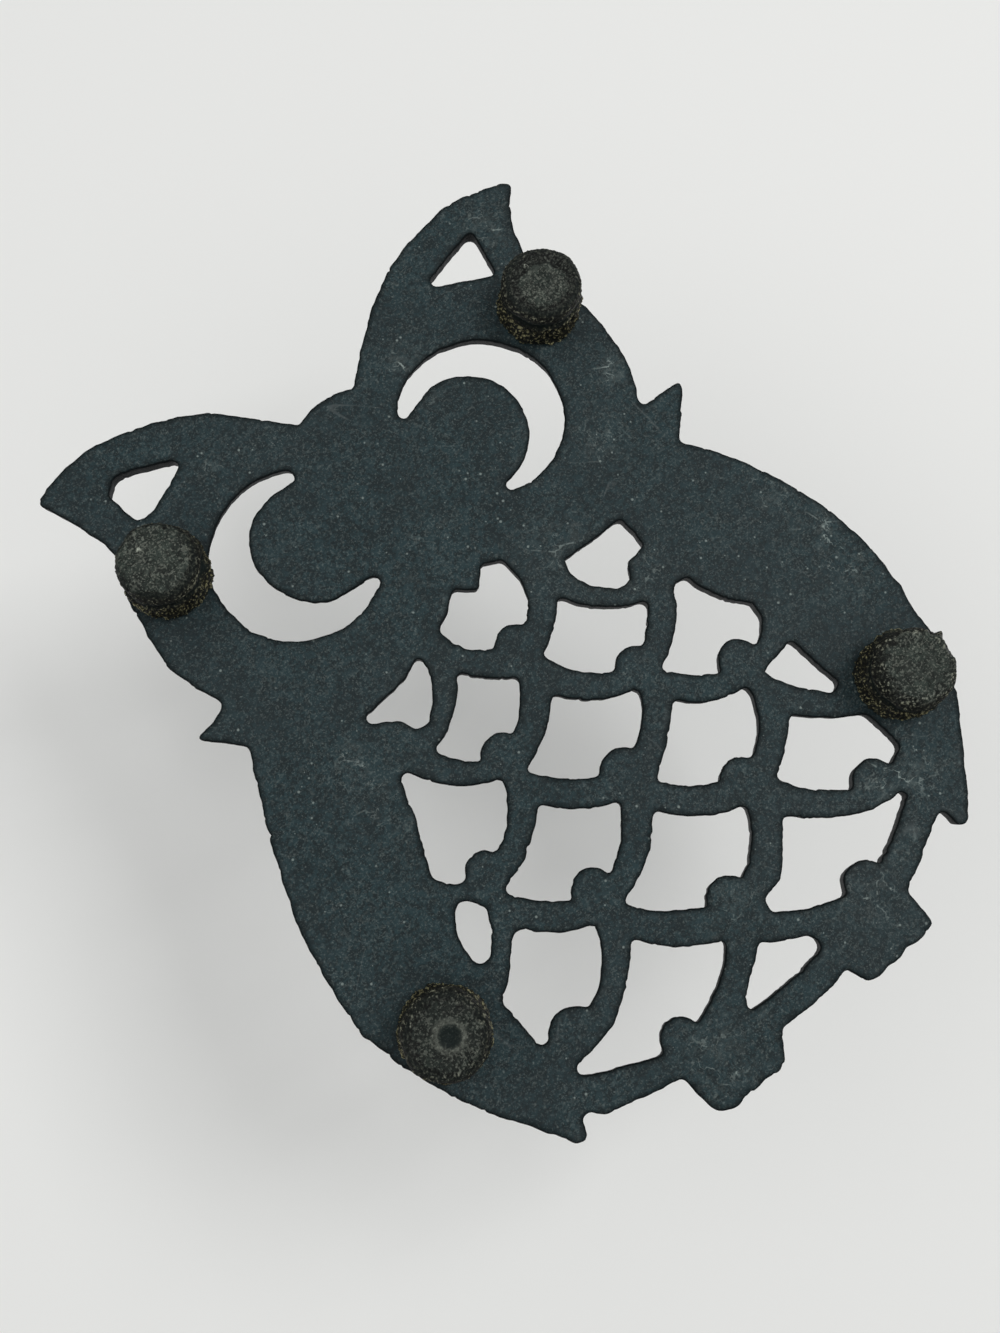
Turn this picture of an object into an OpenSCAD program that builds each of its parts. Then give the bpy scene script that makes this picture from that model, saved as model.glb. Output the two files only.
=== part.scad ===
// Cast iron owl trivet on four rubber-capped legs.
//
// The trivet lies flat with its feathered face up: +Z is up, +Y points to the owl's ears and +X to
// the right of someone who looks down on it. The origin is on the table under the middle of the plate.
// The outlines are drawn on squared paper: the plate is grid_cols squares wide and grid_rows long.

/* [Plate] */
// Width of the plate over its wings
owl_w = 101; // [80:0.5:140]
// Length of the plate from its ears to its toes
owl_l = 130; // [100:0.5:180]
// Thickness of the plate, without the relief on its front
plate_t = 3.4; // [2.6:0.1:6]
// How far each cast wall leans back between the plate's back and its front
draft = 0.3; // [0.1:0.05:0.5]
// Radius of the corners of the outline and of the openings
corner_r = 0.7; // [0.4:0.05:0.9]

/* [Relief] */
// Height of the relief above the front of the plate
relief_h = 0.9; // [0.5:0.1:1.5]
// Width of the ridges round the eyes and along the brows
ridge_w = 2.2; // [1.4:0.1:3]
// Radius of the ring round each eye, along the middle of its ridge
eye_ring_r = 7; // [6:0.1:7.4]
// Radius of the raised pupil in each eye
pupil_r = 3.2; // [2:0.1:4]
// Length of the beak
beak_l = 15; // [10:0.5:16]
// Width of the beak at its brow end
beak_w = 6.4; // [4:0.2:8]
// Width of the grooves between the wing feathers and between the toes
groove_w = 1.4; // [0.8:0.1:2]
// Depth of those grooves
groove_d = 0.7; // [0.3:0.1:1.2]

/* [Legs] */
// Length of each cast peg that carries a rubber cap
peg_h = 6; // [4:0.1:9]
// Radius of the pegs
peg_r = 3.2; // [2.4:0.1:3.6]
// Bevel round the end of each peg
peg_bevel = 0.5; // [0.2:0.1:1]

/* [Rubber caps] */
// Radius of the caps where their skirts meet the plate
cap_r = 6.4; // [5.6:0.1:7.5]
// Rubber between the end of the peg and the table
cap_floor_t = 2.5; // [2:0.1:5]
// How much narrower than that the lip of each skirt is, all round
skirt_taper = 0.2; // [0.1:0.1:0.5]
// Height of the head at the free end
head_h = 2.6; // [2.5:0.1:3.2]
// How much narrower than the skirt the head is, all round
head_inset = 0.4; // [0.2:0.1:0.8]
// Depth of the groove between the head and the skirt
cap_groove_d = 0.5; // [0.3:0.1:1]
// Height of that groove
cap_neck_h = 0.7; // [0.4:0.1:0.9]
// Radius of the soft edges of the skirt and of the head beside the groove
cap_lip_r = 0.4; // [0.2:0.1:0.4]
// Radius of the soft edge round the flat end of each head
cap_edge_r = 1.7; // [1:0.1:2]
// Radius of the dimple in the end of each cap
dimple_r = 1.7; // [1:0.1:2.4]
// Depth of the dimple
dimple_d = 0.6; // [0.3:0.1:1.2]
// Gap all round between a peg and its cap
cap_gap = 0.05; // [0.02:0.01:0.1]

/* [Hidden] */
$fn = 20;

// The squared drawing: the owl is owl_cols squares wide and owl_rows squares long on it
owl_cols = 100.8;
owl_rows = 129.5;
drawing_mid_shares = [-0.1, 0.05];
square = [owl_w / owl_cols, owl_l / owl_rows];
chord_slack = 0.06 * square.x; // most that a drawn chord stands off its arc
sharp_bend = 25; // bends under this many degrees are left as they are
corner_step = 34;

cap_h = peg_h + cap_floor_t;
back_z = cap_h;
front_z = back_z + plate_t;
overrun = 0.5 * plate_t;
root = 0.3 * plate_t; // how deep the relief and the pegs reach into the plate

// Places of the four legs, left and right seen from above
ear_left_share = [-35.1, 42.5];
ear_right_share = [33.8, 41.7];
wing_left_share = [-40.2, -34.4];
wing_right_share = [41.2, -32.6];
leg_shares = [ear_left_share, ear_right_share, wing_left_share, wing_right_share];

// One stop of an outline is [x, y, bow]. The bow is the height of the arc that leads to the next
// stop, as a share of its chord. It is positive where the arc bows out of the shape and negative
// where it bows in. Stops run anticlockwise.
outline_shares = [
    // crown and left ear
    [5.3, 49.2, 0.11], [-4.8, 49.1, 0.026], [-18.0, 60.0, 0.05], [-34.0, 64.8, 0.045],
    [-44.2, 62.6, 0.15], [-45.0, 61.5, -0.085], [-39.5, 52.0, 0],
    // left cheek and its tuft
    [-38.4, 46.5, 0.08], [-41.3, 35.0, 0.073], [-37.4, 20.6, 0], [-44.7, 20.3, 0.1],
    [-44.4, 19.0, 0], [-38.6, 12.8, 0.052],
    // left wing
    [-49.1, -8.0, 0.064], [-49.3, -28.2, 0.09], [-43.6, -44.6, 0.015], [-35.0, -55.7, 0],
    [-34.0, -56.3, 0], [-32.8, -55.6, 0], [-32.7, -52.7, 0], [-31.4, -52.9, 0.01],
    // left foot
    [-21.0, -57.9, 0], [-21.0, -63.5, 0.06], [-15.6, -63.6, 0.1], [-11.6, -63.8, 0.2],
    [-8.0, -63.0, 0.03], [-7.1, -60.5, 0.045],
    // right foot
    [5.0, -60.8, 0], [7.6, -64.3, 0.1], [11.2, -64.4, 0.06], [14.6, -64.5, 0.12],
    [18.2, -64.0, 0.12], [19.6, -61.5, 0], [19.9, -57.2, 0.02],
    // right wing
    [31.2, -54.3, 0], [32.5, -52.8, 0], [33.8, -52.8, 0], [34.8, -55.4, 0], [36.6, -54.8, 0],
    [37.0, -53.5, 0], [43.2, -44.5, 0.02], [48.8, -32.0, 0], [49.8, -27.2, 0],
    [50.3, -26.9, 0.025], [48.6, -9.0, 0.017],
    // right cheek and its tuft
    [39.4, 14.7, -0.02], [43.7, 19.1, 0.1], [44.2, 20.1, 0], [42.8, 20.4, 0],
    [39.4, 21.2, 0], [38.6, 22.1, 0.02], [41.7, 31.0, 0.01], [40.6, 41.5, 0.05],
    // right ear
    [38.2, 48.0, 0], [38.3, 51.0, -0.02], [41.8, 60.6, 0], [42.5, 61.7, 0.1], [42.0, 62.7, 0.058],
    [31.0, 64.7, 0.05], [15.0, 59.2, 0.01]
];

ear_holes_shares = [
    [[-35.1, 59.3, 0], [-33.5, 50.8, 0], [-24.5, 55.0, 0], [-24.7, 56.3, 0]],
    [[22.2, 55.0, 0], [24.5, 53.8, 0], [30.0, 51.3, 0], [32.6, 51.2, 0], [33.8, 57.0, 0],
     [31.6, 58.8, 0], [30.2, 58.7, 0], [25.2, 56.8, 0]]
];

eye_crescents_shares = [
    [[-7.3, 41.6, 0.113], [-17.0, 46.4, 0.203], [-29.7, 34.3, 0.21], [-17.2, 21.35, 0.04],
     [-13.3, 22.2, 0], [-13.5, 23.5, -0.12], [-21.2, 27.3, -0.142], [-22.4, 37.0, -0.145],
     [-14.1, 42.3, 0], [-7.9, 40.4, 0]],
    [[10.3, 42.6, 0], [12.6, 42.7, -0.11], [20.9, 40.2, -0.143], [22.7, 30.5, -0.137],
     [16.5, 24.4, 0], [10.6, 23.8, 0], [10.0, 22.8, 0.06], [16.9, 20.3, 0.1],
     [27.4, 24.9, 0.075], [30.1, 32.6, 0.105], [27.0, 41.4, 0.09], [17.4, 46.15, 0.05],
     [10.8, 44.6, 0]]
];

// The gaps between the breast feathers, row by row from the beak to the tail. The round end of a
// feather stem rises into most of them from below.
feather_gaps_shares = [
    [[-0.4, 12.9, 0], [-2.8, 15.8, 0], [-5.7, 14.4, 0.06], [-5.9, 10.6, 0.02], [-5.0, 7.3, 0],
     [-2.2, 4.8, -0.31], [3.3, 4.6, 0], [6.6, 7.2, 0.03], [8.0, 11.6, 0], [5.4, 13.1, 0],
     [2.6, 15.3, 0]],
    [[-23.8, 8.9, 0], [-23.9, 3.4, 0], [-20.2, 3.0, 0], [-18.9, 0.8, 0], [-16.6, 0.7, 0],
     [-13.7, 3.5, 0.04], [-12.4, 7.0, 0], [-13.0, 8.9, -0.02]],
    [[12.6, 10.8, 0], [12.6, 8.2, 0.05], [15.0, 4.2, 0], [17.2, 2.0, 0], [19.3, 2.3, 0],
     [20.3, 4.6, -0.03], [24.4, 7.0, 0], [23.6, 8.3, -0.02], [16.2, 8.95, -0.04]],
    [[-8.9, 5.2, -0.11], [-18.9, -3.2, 0.05], [-13.9, -8.1, -0.3], [-8.4, -8.6, 0.1],
     [-1.5, -0.3, -0.07]],
    [[9.7, 5.4, -0.075], [3.2, -0.6, 0.08], [9.1, -6.7, -0.36], [14.8, -7.0, 0.07],
     [19.2, -1.7, -0.11]],
    [[-25.8, -4.0, -0.09], [-30.7, -12.9, 0], [-30.6, -15.4, 0.08], [-27.0, -18.2, -0.48],
     [-20.6, -18.2, 0.05], [-13.5, -12.3, -0.1], [-23.4, -4.0, 0]],
    [[0.9, -5.6, -0.095], [-9.5, -12.6, 0.1], [-3.2, -18.9, -0.31], [3.0, -18.9, 0.06],
     [10.9, -11.8, -0.08]],
    [[24.0, -1.7, -0.11], [14.0, -10.7, 0.1], [20.9, -18.3, -0.35], [26.6, -18.6, 0],
     [27.8, -18.3, 0.05], [30.3, -15.6, -0.02], [25.2, -1.7, 0]],
    [[-31.6, -20.7, 0], [-32.3, -24.8, 0], [-33.1, -30.0, 0], [-31.2, -30.3, 0],
     [-27.5, -26.0, 0.02], [-25.3, -21.7, 0]],
    [[-12.4, -16.9, -0.12], [-22.3, -21.9, 0.13], [-15.6, -30.3, -0.33], [-10.1, -30.1, 0.06],
     [-2.9, -24.4, -0.035]],
    [[12.2, -16.5, -0.095], [2.8, -23.3, 0.07], [10.5, -30.3, -0.45], [16.8, -30.0, 0.055],
     [23.7, -23.0, -0.085]],
    [[29.6, -20.2, 0.15], [27.0, -23.6, 0.06], [30.6, -28.9, 0.1], [32.2, -28.6, 0.06],
     [32.5, -25.0, 0.09]],
    [[-24.3, -28.9, -0.045], [-33.2, -35.7, 0], [-34.1, -42.0, 0], [-31.0, -43.4, -0.4],
     [-24.5, -42.5, 0.07], [-16.5, -34.6, -0.05]],
    [[0.1, -27.2, -0.095], [-10.9, -34.8, 0.1], [-3.6, -42.3, -0.37], [2.6, -42.1, 0.065],
     [11.8, -34.4, -0.1]],
    [[24.9, -28.5, -0.08], [16.4, -34.3, 0.12], [24.2, -42.5, -0.34], [31.1, -42.4, 0],
     [32.5, -42.1, 0], [32.8, -34.4, -0.04], [26.3, -28.4, 0]],
    [[-13.9, -39.2, -0.045], [-24.5, -46.5, -0.03], [-31.0, -47.2, 0.037], [-20.3, -52.7, -0.42],
     [-13.9, -53.1, 0.05], [-4.0, -48.3, 0], [-4.3, -46.3, 0], [-7.6, -45.9, -0.03]],
    [[13.7, -38.9, -0.08], [3.4, -47.2, 0.07], [13.8, -53.3, -0.49], [19.9, -53.3, 0.035],
     [32.0, -47.5, -0.02], [23.0, -46.2, -0.06]],
    [[0.2, -50.2, -0.03], [-6.0, -54.0, 0], [-6.6, -56.3, 0.03], [7.4, -56.5, 0],
     [6.4, -54.6, -0.03]]
];

// The round ends of the feather stems
bud_shares = [
    [0.5, 3.1], [-11.3, -9.9], [11.9, -8.0], [-23.7, -18.2], [-0.1, -20.2], [23.6, -19.7],
    [-12.7, -31.6], [13.6, -30.5], [-27.4, -43.5], [-0.5, -43.1], [28.2, -43.3],
    [-17.2, -53.3], [16.8, -53.4]
];
bud_r = 3.2 * square.x;

eye_shares = [[-13.8, 33.3], [13.9, 33.4]];
beak_tip_share = [-0.4, 13.6];

// Ridges of the face, grooves between the wing feathers: [middle x, middle y, radius, from, to].
// The grooves of a wing lie inside each other and end one after the other along it.
face_arcs_shares = [[-17.2, 33.9, 15.4, 40, 215], [17.4, 33.3, 15.8, -35, 140]];
wing_arcs_shares = [
    [4.2, -19.8, 49.3, 150, 216], [4.2, -19.8, 44.8, 152, 200], [4.2, -19.8, 40.3, 156, 190],
    [-3.4, -19.8, 49.3, -36, 30], [-3.4, -19.8, 44.8, -20, 28], [-3.4, -19.8, 40.3, -10, 24]
];
toe_grooves_shares = [[-15.8, -63.6], [-11.7, -63.8], [11.2, -64.4], [14.7, -64.4]];
toe_groove_l = 6 * square.y;

function place(stop) = [
    (stop.x - drawing_mid_shares.x) * square.x,
    (stop.y - drawing_mid_shares.y) * square.y
];

// Points along the arc from stop a to stop b, without b itself
function arc_points(a, b) =
    let (p = place(a), q = place(b), chord = norm(q - p), along = (q - p) / chord,
         out = [along.y, -along.x], h = abs(a[2]) * chord)
    h == 0 ? [p] :
    let (r = (chord * chord / 4 + h * h) / (2 * h), half = 2 * atan(2 * h / chord),
         steps = ceil(half / acos(1 - min(1, chord_slack / r))))
    [for (i = [0 : steps - 1])
        let (turn = half * (2 * i / steps - 1))
        (p + q) / 2 + along * r * sin(turn) + out * sign(a[2]) * (r * cos(turn) - r + h)];

function loop_points(stops) = [
    for (i = [0 : len(stops) - 1]) each arc_points(stops[i], stops[(i + 1) % len(stops)])];

// Corner b between a and c, rounded by radius r as far as its neighbours leave room
function corner_points(a, b, c, r) =
    let (u = (a - b) / norm(a - b), v = (c - b) / norm(c - b),
         bend = 180 - acos(max(-1, min(1, u * v))))
    bend < sharp_bend ? [b] :
    let (room = 0.48 * min(norm(a - b), norm(c - b)), reach = min(r * tan(bend / 2), room),
         fillet = reach / tan(bend / 2), middle = b + (u + v) / norm(u + v) * fillet / cos(bend / 2),
         steps = ceil(bend / corner_step), start = b + u * reach - middle,
         way = sign(cross(-u, v)))
    [for (i = [0 : steps])
        let (turn = way * bend * i / steps)
        middle + [start.x * cos(turn) - start.y * sin(turn),
                  start.x * sin(turn) + start.y * cos(turn)]];

function rounded_points(points, r) =
    let (n = len(points))
    [for (i = [0 : n - 1]) each corner_points(points[(i + n - 1) % n], points[i],
                                              points[(i + 1) % n], r)];

function outline(stops) = rounded_points(loop_points(stops), corner_r);

// Lowest and highest value of column k in a list of points
function low(points, k) = min([for (p = points) p[k]]);
function high(points, k) = max([for (p = points) p[k]]);

// A cutter for one opening. Its walls lean out by the given amount towards the front of the plate.
module cutter(stops, lean) {
    points = outline(stops);
    mid = [low(points, 0) + high(points, 0), low(points, 1) + high(points, 1)] / 2;
    size = [high(points, 0) - low(points, 0), high(points, 1) - low(points, 1)];
    grow = 2 * lean * (plate_t + 2 * overrun) / plate_t;
    first = 2 * lean * overrun / plate_t;
    translate([mid.x, mid.y, back_z - overrun])
        linear_extrude(plate_t + 2 * overrun, slices = 1,
            scale = [1 + grow / (size.x - first), 1 + grow / (size.y - first)])
            scale([1 - first / size.x, 1 - first / size.y])
                translate(-mid)
                    polygon(points);
}

module plate_blank() {
    translate([0, 0, back_z])
        linear_extrude(plate_t, slices = 1,
            scale = [1 - 2 * draft / owl_w, 1 - 2 * draft / owl_l])
            polygon(outline(outline_shares));
}

// Section of a raised ridge with a flat top and sloping sides, rooted in the plate
module ridge_section() {
    polygon([
        [-ridge_w / 2, -root], [ridge_w / 2, -root], [ridge_w / 2, 0], [ridge_w / 4, relief_h],
        [-ridge_w / 4, relief_h], [-ridge_w / 2, 0]
    ]);
}

module eye_relief() {
    rotate_extrude() translate([eye_ring_r, 0]) ridge_section();
    translate([0, 0, -root]) cylinder(h = root, r = pupil_r);
    cylinder(h = relief_h, r1 = pupil_r, r2 = pupil_r - relief_h / 2);
}

module face_ridge(arc) {
    translate(place(arc))
        rotate([0, 0, arc[3]])
            rotate_extrude(angle = arc[4] - arc[3])
                translate([arc[2] * square.x, 0]) ridge_section();
}

// A low dome over the round end of a feather stem
module bud_dome() {
    ball_r = (bud_r * bud_r + relief_h * relief_h) / (2 * relief_h);
    rotate_extrude()
        intersection() {
            translate([0, relief_h - ball_r]) circle(ball_r, $fn = 90);
            translate([0, -root]) square([bud_r, root + relief_h]);
        }
}

module beak() {
    translate([0, 0, -root])
        linear_extrude(root + relief_h, slices = 1, scale = 0.6)
            polygon([
                [0, -beak_l / 2], [beak_w / 2, beak_l / 6], [0, beak_l / 2],
                [-beak_w / 2, beak_l / 6]
            ]);
}

module relief() {
    translate([0, 0, front_z]) {
        for (eye = eye_shares) translate(place(eye)) eye_relief();
        for (arc = face_arcs_shares) face_ridge(arc);
        for (bud = bud_shares) translate(place(bud)) bud_dome();
        translate(place(beak_tip_share)) translate([0, beak_l / 2]) beak();
    }
}

// Round-bottomed grooves in the front of the plate
module grooves() {
    groove_r = groove_w / 2;
    translate([0, 0, front_z + groove_r - groove_d]) {
        for (arc = wing_arcs_shares)
            translate(place(arc))
                rotate([0, 0, arc[3]])
                    rotate_extrude(angle = arc[4] - arc[3])
                        translate([arc[2] * square.x, 0]) circle(groove_r);
        for (toe = toe_grooves_shares)
            translate(place(toe)) {
                translate([0, toe_groove_l]) rotate([90, 0, 0])
                    cylinder(h = toe_groove_l + overrun, r = groove_r);
                translate([0, toe_groove_l]) sphere(groove_r);
            }
    }
}

module peg() {
    translate([0, 0, cap_floor_t]) {
        cylinder(h = peg_bevel, r1 = peg_r - peg_bevel, r2 = peg_r);
        translate([0, 0, peg_bevel]) cylinder(h = peg_h - peg_bevel + root, r = peg_r);
    }
}

module owl_casting() {
    color("darkslategray") {
        difference() {
            union() {
                plate_blank();
                relief();
            }
            for (stops = ear_holes_shares) cutter(stops, draft);
            for (stops = eye_crescents_shares) cutter(stops, 0);
            for (stops = feather_gaps_shares) cutter(stops, draft);
            grooves();
        }
        for (leg = leg_shares) translate(place(leg)) peg();
    }
}

// Half section of a rubber cap: a skirt that narrows a little from the plate to its lip, a groove,
// and a low head that is rounded towards its flat end. The socket for the peg goes up its middle.
module cap_section() {
    head_r = cap_r - head_inset;
    flat_r = head_r - cap_edge_r;
    skirt_z = head_h + cap_neck_h;
    lip_x = cap_r - skirt_taper - cap_lip_r;
    dimple_ball_r = (dimple_r * dimple_r + dimple_d * dimple_d) / (2 * dimple_d);
    difference() {
        union() {
            square([flat_r, cap_edge_r]);
            translate([flat_r, cap_edge_r]) circle(cap_edge_r);
            translate([0, cap_edge_r]) {
                square([head_r, head_h - cap_edge_r - cap_lip_r]);
                square([head_r - cap_lip_r, head_h - cap_edge_r]);
                square([head_r - cap_groove_d, cap_h - 2 * cap_edge_r]);
            }
            translate([head_r - cap_lip_r, head_h - cap_lip_r]) circle(cap_lip_r);
            polygon([
                [0, skirt_z], [lip_x, skirt_z], [lip_x + cap_lip_r, skirt_z + cap_lip_r],
                [cap_r, cap_h - cap_lip_r], [cap_r - cap_lip_r, cap_h], [0, cap_h]
            ]);
            translate([lip_x, skirt_z + cap_lip_r]) circle(cap_lip_r);
            translate([cap_r - cap_lip_r, cap_h - cap_lip_r]) circle(cap_lip_r);
        }
        translate([-cap_r, -cap_h]) square([cap_r, 3 * cap_h]);
        translate([0, cap_floor_t]) square([peg_r + cap_gap, cap_h]);
        translate([0, dimple_d - dimple_ball_r]) circle(dimple_ball_r, $fn = 60);
    }
}

module rubber_cap(leg) {
    color("dimgray") translate(place(leg)) rotate_extrude() cap_section();
}

module foot_cap_ear_left() rubber_cap(ear_left_share);
module foot_cap_ear_right() rubber_cap(ear_right_share);
module foot_cap_wing_left() rubber_cap(wing_left_share);
module foot_cap_wing_right() rubber_cap(wing_right_share);

owl_casting();
foot_cap_ear_left();
foot_cap_ear_right();
foot_cap_wing_left();
foot_cap_wing_right();
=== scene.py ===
"""Dresses an owl trivet: a pierced cast iron plate on four pegs with push-on rubber caps.

Every new piece is worked out in the part's own frame, with +Z up through the plate, from its feet
to its feathered front. The camera looks at the flat back from below, so the pale ground that it
sees is over the plate. A second ground under the feet shows only from above. Lengths are in
millimetres, and in metres once a mesh is made and on the stage.
"""
import math
from typing import NamedTuple

import bpy
import numpy as np
from mathutils import Matrix, Vector
from mathutils.geometry import delaunay_2d_cdt


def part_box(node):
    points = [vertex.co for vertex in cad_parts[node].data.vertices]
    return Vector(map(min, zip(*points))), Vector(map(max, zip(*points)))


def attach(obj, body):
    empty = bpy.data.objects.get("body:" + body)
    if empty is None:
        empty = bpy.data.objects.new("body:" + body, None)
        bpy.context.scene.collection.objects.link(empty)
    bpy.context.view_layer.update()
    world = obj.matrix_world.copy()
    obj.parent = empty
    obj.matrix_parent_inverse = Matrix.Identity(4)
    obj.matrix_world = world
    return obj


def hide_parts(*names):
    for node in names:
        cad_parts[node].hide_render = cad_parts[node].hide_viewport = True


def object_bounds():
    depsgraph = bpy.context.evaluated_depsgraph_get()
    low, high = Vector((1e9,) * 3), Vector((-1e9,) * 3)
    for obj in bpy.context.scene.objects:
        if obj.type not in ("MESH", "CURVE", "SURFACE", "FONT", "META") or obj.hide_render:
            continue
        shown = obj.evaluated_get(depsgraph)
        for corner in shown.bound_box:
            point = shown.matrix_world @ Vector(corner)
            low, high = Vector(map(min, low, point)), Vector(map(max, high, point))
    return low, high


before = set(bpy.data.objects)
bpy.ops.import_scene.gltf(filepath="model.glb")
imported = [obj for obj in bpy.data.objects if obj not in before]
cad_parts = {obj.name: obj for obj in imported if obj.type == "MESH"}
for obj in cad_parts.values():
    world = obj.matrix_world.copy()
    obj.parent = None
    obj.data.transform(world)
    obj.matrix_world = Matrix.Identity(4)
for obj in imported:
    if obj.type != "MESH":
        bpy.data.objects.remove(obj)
CAD_LOW, CAD_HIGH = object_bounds()

bl_info = {
    "name": "Owl trivet",
    "version": (1, 1, 0),
    "blender": (4, 5, 0),
    "location": "View3D > Sidebar > Trivet",
    "description": "Finishes a cast iron owl trivet and its rubber foot caps",
    "category": "Object",
}

MM = 0.001
CASTING = "owl_casting"


class Wear(NamedTuple):
    """How one cap is worn. Places are seen from the middle of the cap."""
    seed: int            # of its roughness
    cover: float         # how far crumbs cover its shoulder
    slip: tuple          # where its dimple has slipped to
    clear: float         # how much of the dimple the dirt has left
    patch: tuple         # worn grey patch on its end, partly painted light: place, radius and strength
    chip: tuple = None   # pale chip on its end: place and radius
    nib: tuple = None    # torn nib: direction in degrees, length, half its width, and height


CAPS = {
    "foot_cap_ear_left": Wear(
        seed=110, cover=0.3, slip=(0.0, 0.0), clear=0.25, patch=(0.4, -0.5, 3.4, 0.8),
        chip=(0.4, 3.4, 0.36)),
    "foot_cap_ear_right": Wear(
        seed=120, cover=0.35, slip=(0.2, 0.3), clear=0.15, patch=(0.2, 0.2, 5.0, 0.9),
        chip=(0.9, 2.4, 0.42), nib=(218, 0.7, 0.8, 3.5)),
    "foot_cap_wing_left": Wear(
        seed=130, cover=0.9, slip=(-0.3, 0.3), clear=0.15, patch=(-0.6, -0.2, 4.9, 0.9),
        nib=(168, 1.2, 0.55, 2.0)),
    "foot_cap_wing_right": Wear(
        seed=140, cover=0.5, slip=(-0.47, -0.37), clear=1.0, patch=(-0.4, -0.3, 4.4, 0.40)),
}
NIB_TALL = 0.55     # half the height of a torn nib
CAP_AROUND = 300    # points round a cap

# The squared drawing of the pattern: how many squares the owl covers, and where its middle is
OWL_SQUARES = (100.8, 129.5)
OWL_MIDDLE = (-0.1, 0.05)

# Places on that drawing, in squares
EYES = ((-13.8, 33.3), (13.9, 33.4))
BEAK_TIP = (-0.4, 13.6)
BUDS = ((0.5, 3.1), (-11.3, -9.9), (11.9, -8.0), (-23.7, -18.2), (-0.1, -20.2), (23.6, -19.7),
        (-12.7, -31.6), (13.6, -30.5), (-27.4, -43.5), (-0.5, -43.1), (28.2, -43.3),
        (-17.2, -53.3), (16.8, -53.4))
TOE_GROOVES = ((-15.8, -63.6), (-11.7, -63.8), (11.2, -64.4), (14.7, -64.4))

# Arcs on it, each with its middle, its radius and the degrees from which to which it runs
FACE_ARCS = ((-17.2, 33.9, 15.4, 40, 215), (17.4, 33.3, 15.8, -35, 140))
WING_ARCS = ((4.2, -19.8, 49.3, 150, 216), (4.2, -19.8, 44.8, 152, 200),
             (4.2, -19.8, 40.3, 156, 190), (-3.4, -19.8, 49.3, -36, 30),
             (-3.4, -19.8, 44.8, -20, 28), (-3.4, -19.8, 40.3, -10, 24))

# Dusty marks on the back: their place in squares, their radius in mm and their strength
DUSTY_MARKS = ((-37.2, 57.6, 3.2, 0.7), (-12.4, 48.3, 1.6, 0.9), (-37.7, 27.7, 2.2, 1.0),
               (-47.0, -11.4, 3.4, 0.8), (-45.0, -17.5, 3.0, 0.6), (-32.0, -44.2, 4.0, 1.0),
               (-27.5, -46.5, 3.0, 0.9), (-24.0, -50.5, 3.4, 0.6), (-14.0, 11.0, 4.5, 0.5),
               (-29.1, 20.2, 3.5, 0.4), (-21.0, 0.0, 3.0, 0.4), (28.6, -3.1, 5.0, 0.35),
               (14.5, -58.6, 4.5, 0.5), (-16.5, -55.5, 3.5, 0.6), (0.0, -44.0, 3.5, 0.4))

# Layers of noise, each with its strength, its size in mm and its seed
OUTLINE_WAVES = ((0.8, 7.0, 11), (0.6, 2.6, 12), (0.4, 1.2, 14))
FRONT_WAVES = ((0.045, 15, 21), (0.02, 5, 22), (0.012, 1.8, 23))
BACK_WAVES = ((0.05, 16, 21), (0.02, 5, 24))
WALL_WAVES = ((0.03, 2.2, 13),)
CRUMBS = ((0.7, 0.66, 1), (0.7, 0.40, 5))

FRONT_TURN = 32     # degrees of the rounded front edge that belong to the walls
PILLOW = 0.22       # how much the front swells between its edges
BACK_SWELL = 0.04   # how much the flat back swells between its edges
RIM_REACH = 4.0     # how far from a rim distances to it are measured
RUB_REACH = 3.0     # the same for the mark that rubbed edges follow
EDGE_BANDS = (0.16, 0.40, 0.70)    # how far from the rims of the front points run along them
GROOVE_DEPTH = 0.85    # of the grooves of the front, as a share of the relief
TOE_GROOVE_L = 6.0
PEG_BEVEL = 0.5

# How dark the painted shade is on each ring of a wall, from the flat back to the front
WALL_SHADE = (0.65, 1, 1, 1, 1, 1, 1, 0, 0)

GROUND_HALF = 3.0             # half the side of each square of ground, in m
BACKDROP = 0.48               # strength of the room's light as the camera sees it
ROOM_SHARES = (0.20, 1.17)    # of the room's light, at the horizon and overhead

# The lamps: their place in m, their share of the key light's power, and their size in m
LAMPS = {
    "key_under": ((-0.40, -0.08, -0.68), 1.0, 0.30),
    "key_over": ((-0.62, -0.12, 0.40), 1.0, 0.30),
    "fill_under": ((0.45, 0.30, -0.55), 0.46, 0.6),
    "fill_over": ((0.45, 0.30, 0.55), 0.46, 0.6),
}


def length(name, what, default):
    """A property for a length in millimetres."""
    return bpy.props.FloatProperty(name=name, description=what + ", in mm", default=default)


def colour(name, what, default):
    """A property for the colour of something."""
    return bpy.props.FloatVectorProperty(
        name=name, description="Colour of " + what, subtype="COLOR", size=3, min=0, max=1,
        default=default)


def vector(name, what, subtype, default):
    """A property for a place in metres, or for a direction."""
    return bpy.props.FloatVectorProperty(
        name=name, description=what, subtype=subtype, size=3, default=default)


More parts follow.
